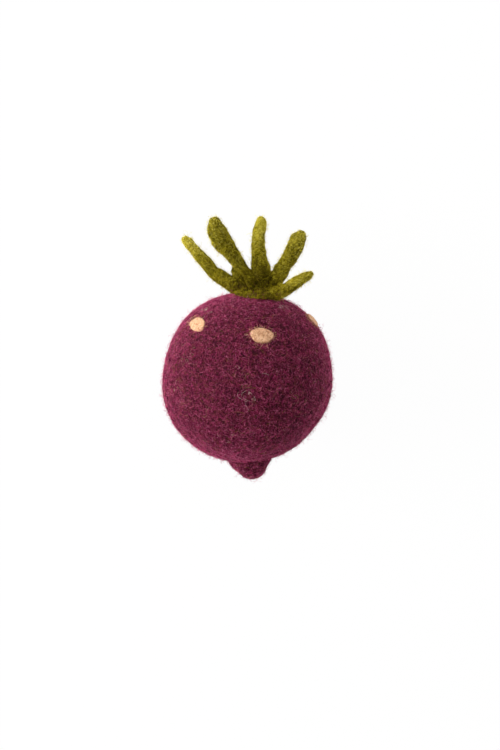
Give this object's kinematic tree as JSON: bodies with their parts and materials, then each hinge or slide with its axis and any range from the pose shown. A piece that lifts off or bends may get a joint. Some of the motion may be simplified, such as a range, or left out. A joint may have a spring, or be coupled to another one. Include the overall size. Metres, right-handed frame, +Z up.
{
  "type": "felted wool toy beetroot",
  "caption": "Hand-felted wool play beetroot: a round burgundy ball with a blunt tap, cream spots round its shoulder and green felt finger leaves, lying on its side.",
  "frame": {"origin": "middle of the small flat under the ball on which the beetroot lies", "axes": "+Z up, +Y level along the root's axis from the tap to the leaves, +X to the right of someone who looks down on it with the leaves away from them"},
  "size_m": [0.0721, 0.1133, 0.0716],
  "materials": {
    "beet_wool": "matted burgundy wool felt with fine loose fibres",
    "leaf_wool": "matted olive green wool felt with fine loose fibres",
    "cream_wool": "matted cream wool felt with a ragged edge"
  },
  "bodies": {
    "root": {"root": "beet_wool", "leaf_crown": "leaf_wool", "spot_top": "cream_wool", "spot_left": "cream_wool", "spot_right": "cream_wool", "spot_under_left": "cream_wool", "spot_under_right": "cream_wool"}
  },
  "joints": []
}
